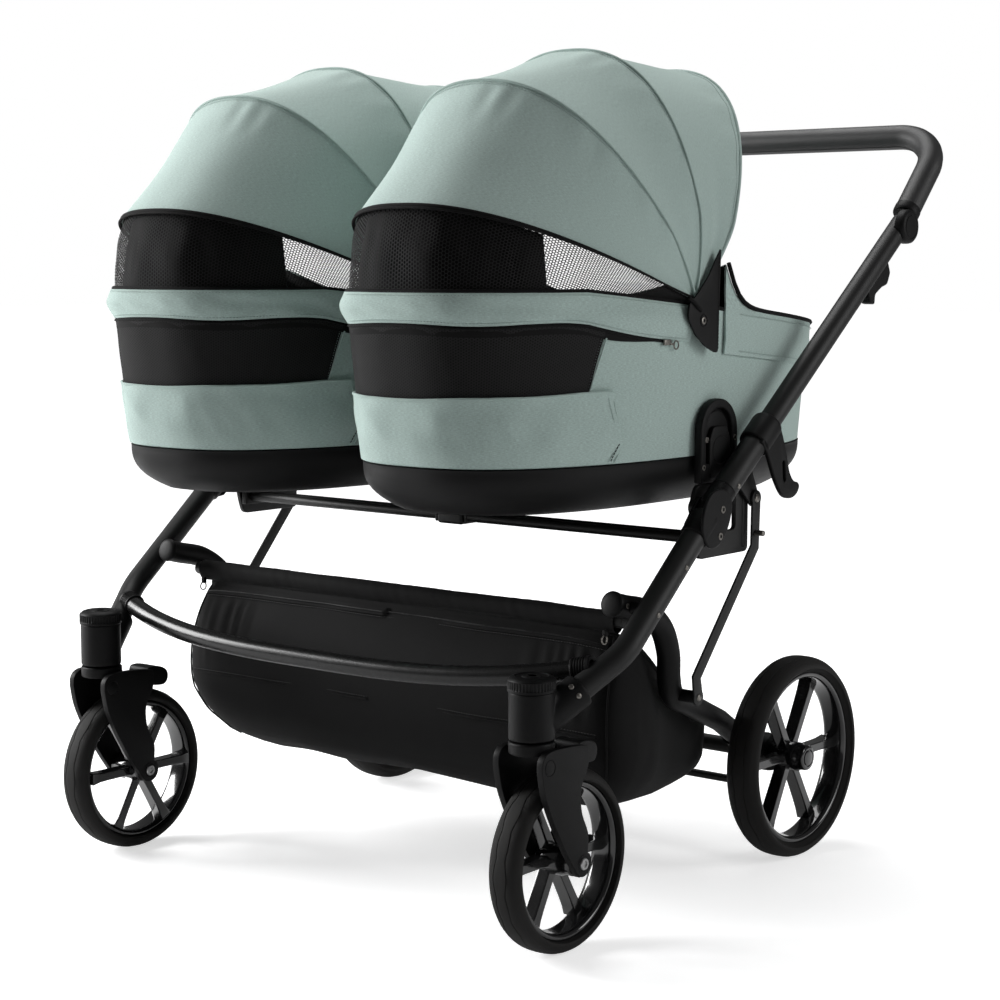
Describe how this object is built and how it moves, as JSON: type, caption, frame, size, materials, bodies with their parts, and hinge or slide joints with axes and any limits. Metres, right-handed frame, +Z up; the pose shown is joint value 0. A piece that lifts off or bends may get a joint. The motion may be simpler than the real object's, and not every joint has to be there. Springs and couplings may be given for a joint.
{
  "type": "twin pram",
  "caption": "Side-by-side twin pram: folding black tube chassis on swivel front wheels, sage fabric carrycots with folding hoods, basket and bar handle.",
  "frame": {"origin": "on the floor, under the middle of the pram's bounding box", "axes": "+Z up, +Y toward the handle, +X toward the left of the person who pushes"},
  "size_m": [0.8944, 0.9482, 1.0749],
  "materials": {
    "sage_fabric": "matt melange weave, sage green",
    "frame_black": "fine satin powder coat, black",
    "black_plastic": "finely grained, black",
    "gloss_black": "glossy, black",
    "tyre_rubber": "moulded foam rubber, black",
    "black_fabric": "plain woven polyester, black",
    "black_mesh": "open knitted mesh, black",
    "steel": "turned, satin",
    "liner_fabric": "soft cotton jersey, off-white"
  },
  "bodies": {
    "chassis": {"front_crossbar": "frame_black", "carrier_bars": "frame_black", "side_tube_left": "frame_black", "swivel_housing_left": "black_plastic", "hinge_shell_left": "black_plastic", "carrier_bracket_left": "frame_black", "side_tube_right": "frame_black", "swivel_housing_right": "black_plastic", "hinge_shell_right": "black_plastic", "carrier_bracket_right": "frame_black"},
    "rear_frame": {"rear_leg_left": "black_plastic", "rear_leg_right": "black_plastic", "rear_axle": "black_plastic", "basket": "black_fabric"},
    "brake": {"brake_pedal": "black_plastic"},
    "upper_frame": {"upper_tube_left": "frame_black", "upper_tube_right": "frame_black"},
    "handle": {"handle_bar": "black_plastic"},
    "strut_left": {"strut_left": "frame_black"},
    "collar_left": {"lock_collar_left": "black_plastic"},
    "caster_left": {"fork_left": "black_plastic", "front_axle_left": "steel"},
    "caster_lock_left": {"swivel_lock_left": "black_plastic"},
    "front_wheel_left": {"front_rim_left": "gloss_black", "front_tyre_left": "tyre_rubber"},
    "rear_wheel_left": {"rear_rim_left": "gloss_black", "rear_tyre_left": "tyre_rubber"},
    "carrycot_left": {"tub_left": "black_plastic", "cot_wall_left": "sage_fabric", "mattress_left": "liner_fabric", "apron_left": "sage_fabric", "vent_panel_left": "black_mesh", "adapter_left": "black_plastic", "canopy_head_left": "sage_fabric"},
    "hood_low_left": {"hood_bow_low_left": "frame_black"},
    "hood_mid_left": {"hood_bow_mid_left": "frame_black", "canopy_top_left": "sage_fabric"},
    "hood_open_left": {"hood_bow_open_left": "frame_black", "canopy_back_left": "sage_fabric"},
    "strut_right": {"strut_right": "frame_black"},
    "collar_right": {"lock_collar_right": "black_plastic"},
    "caster_right": {"fork_right": "black_plastic", "front_axle_right": "steel"},
    "caster_lock_right": {"swivel_lock_right": "black_plastic"},
    "front_wheel_right": {"front_rim_right": "gloss_black", "front_tyre_right": "tyre_rubber"},
    "rear_wheel_right": {"rear_rim_right": "gloss_black", "rear_tyre_right": "tyre_rubber"},
    "carrycot_right": {"tub_right": "black_plastic", "cot_wall_right": "sage_fabric", "mattress_right": "liner_fabric", "apron_right": "sage_fabric", "vent_panel_right": "black_mesh", "adapter_right": "black_plastic", "canopy_head_right": "sage_fabric"},
    "hood_low_right": {"hood_bow_low_right": "frame_black"},
    "hood_mid_right": {"hood_bow_mid_right": "frame_black", "canopy_top_right": "sage_fabric"},
    "hood_open_right": {"hood_bow_open_right": "frame_black", "canopy_back_right": "sage_fabric"}
  },
  "joints": [
    {"name": "fold", "type": "hinge", "parent": "chassis", "child": "rear_frame", "pos_m": [0, -0.2551, 0.3987], "axis": [1, 0, 0], "range_deg": [0, 24.4]},
    {"name": "fold_upper", "type": "hinge", "parent": "chassis", "child": "upper_frame", "pos_m": [0, -0.1271, 0.5085], "axis": [1, 0, 0], "range_deg": [0, 45.5]},
    {"name": "handle_angle", "type": "hinge", "parent": "upper_frame", "child": "handle", "pos_m": [0, 0.3319, 0.857], "axis": [1, 0, 0], "range_deg": [-45, 45]},
    {"name": "brake_press", "type": "hinge", "parent": "rear_frame", "child": "brake", "pos_m": [0, 0.1439, 0.098], "axis": [-1, 0, 0], "range_deg": [0, 15]},
    {"name": "strut_swing_left", "type": "hinge", "parent": "upper_frame", "child": "strut_left", "pos_m": [0.413, -0.0031, 0.51], "axis": [1, 0, 0], "range_deg": [-28.5, 0]},
    {"name": "collar_pull_left", "type": "slide", "parent": "upper_frame", "child": "collar_left", "axis": [0, 0.7964, 0.6047], "range_m": [0, 0.024]},
    {"name": "caster_swivel_left", "type": "hinge", "parent": "chassis", "child": "caster_left", "pos_m": [0.374, -0.4148, 0.2632], "axis": [0, 0, 1], "continuous": true},
    {"name": "caster_lock_left", "type": "hinge", "parent": "caster_left", "child": "caster_lock_left", "pos_m": [0.374, -0.3448, 0.239], "axis": [1, 0, 0], "range_deg": [0, 20]},
    {"name": "front_wheel_spin_left", "type": "hinge", "parent": "caster_left", "child": "front_wheel_left", "pos_m": [0.374, -0.3631, 0.111], "axis": [1, 0, 0], "continuous": true},
    {"name": "rear_wheel_spin_left", "type": "hinge", "parent": "rear_frame", "child": "rear_wheel_left", "pos_m": [0.366, 0.1734, 0.1375], "axis": [1, 0, 0], "continuous": true},
    {"name": "carrycot_lift_left", "type": "slide", "parent": "chassis", "child": "carrycot_left", "axis": [0, 0, 1], "range_m": [0, 0.2]},
    {"name": "hood_fold_left", "type": "hinge", "parent": "carrycot_left", "child": "hood_open_left", "pos_m": [0.21, -0.1005, 0.7497], "axis": [1, 0, 0], "range_deg": [0, 71], "deforming": ["canopy_back_left"]},
    {"name": "hood_mid_left", "type": "hinge", "parent": "carrycot_left", "child": "hood_mid_left", "pos_m": [0.21, -0.1005, 0.7497], "axis": [1, 0, 0], "range_deg": [0, 47.3], "deforming": ["canopy_top_left"]},
    {"name": "hood_low_left", "type": "hinge", "parent": "carrycot_left", "child": "hood_low_left", "pos_m": [0.21, -0.1005, 0.7497], "axis": [1, 0, 0], "range_deg": [0, 25.7], "deforming": ["canopy_head_left"]},
    {"name": "strut_swing_right", "type": "hinge", "parent": "upper_frame", "child": "strut_right", "pos_m": [-0.413, -0.0031, 0.51], "axis": [1, 0, 0], "range_deg": [-28.5, 0]},
    {"name": "collar_pull_right", "type": "slide", "parent": "upper_frame", "child": "collar_right", "axis": [0, 0.7964, 0.6047], "range_m": [0, 0.024]},
    {"name": "caster_swivel_right", "type": "hinge", "parent": "chassis", "child": "caster_right", "pos_m": [-0.374, -0.4148, 0.2632], "axis": [0, 0, 1], "continuous": true},
    {"name": "caster_lock_right", "type": "hinge", "parent": "caster_right", "child": "caster_lock_right", "pos_m": [-0.374, -0.3448, 0.239], "axis": [1, 0, 0], "range_deg": [0, 20]},
    {"name": "front_wheel_spin_right", "type": "hinge", "parent": "caster_right", "child": "front_wheel_right", "pos_m": [-0.374, -0.3631, 0.111], "axis": [1, 0, 0], "continuous": true},
    {"name": "rear_wheel_spin_right", "type": "hinge", "parent": "rear_frame", "child": "rear_wheel_right", "pos_m": [-0.366, 0.1734, 0.1375], "axis": [1, 0, 0], "continuous": true},
    {"name": "carrycot_lift_right", "type": "slide", "parent": "chassis", "child": "carrycot_right", "axis": [0, 0, 1], "range_m": [0, 0.2]},
    {"name": "hood_fold_right", "type": "hinge", "parent": "carrycot_right", "child": "hood_open_right", "pos_m": [-0.21, -0.1005, 0.7497], "axis": [1, 0, 0], "range_deg": [0, 71], "deforming": ["canopy_back_right"]},
    {"name": "hood_mid_right", "type": "hinge", "parent": "carrycot_right", "child": "hood_mid_right", "pos_m": [-0.21, -0.1005, 0.7497], "axis": [1, 0, 0], "range_deg": [0, 47.3], "deforming": ["canopy_top_right"]},
    {"name": "hood_low_right", "type": "hinge", "parent": "carrycot_right", "child": "hood_low_right", "pos_m": [-0.21, -0.1005, 0.7497], "axis": [1, 0, 0], "range_deg": [0, 25.7], "deforming": ["canopy_head_right"]}
  ],
  "couplings": [
    {"joint": "fold_upper", "follows": "fold", "ratio": 1.8457},
    {"joint": "strut_swing_left", "follows": "fold", "ratio": -1.1421},
    {"joint": "hood_mid_left", "follows": "hood_fold_left", "ratio": 0.66},
    {"joint": "hood_low_left", "follows": "hood_fold_left", "ratio": 0.355},
    {"joint": "strut_swing_right", "follows": "fold", "ratio": -1.1421},
    {"joint": "hood_mid_right", "follows": "hood_fold_right", "ratio": 0.66},
    {"joint": "hood_low_right", "follows": "hood_fold_right", "ratio": 0.355}
  ]
}
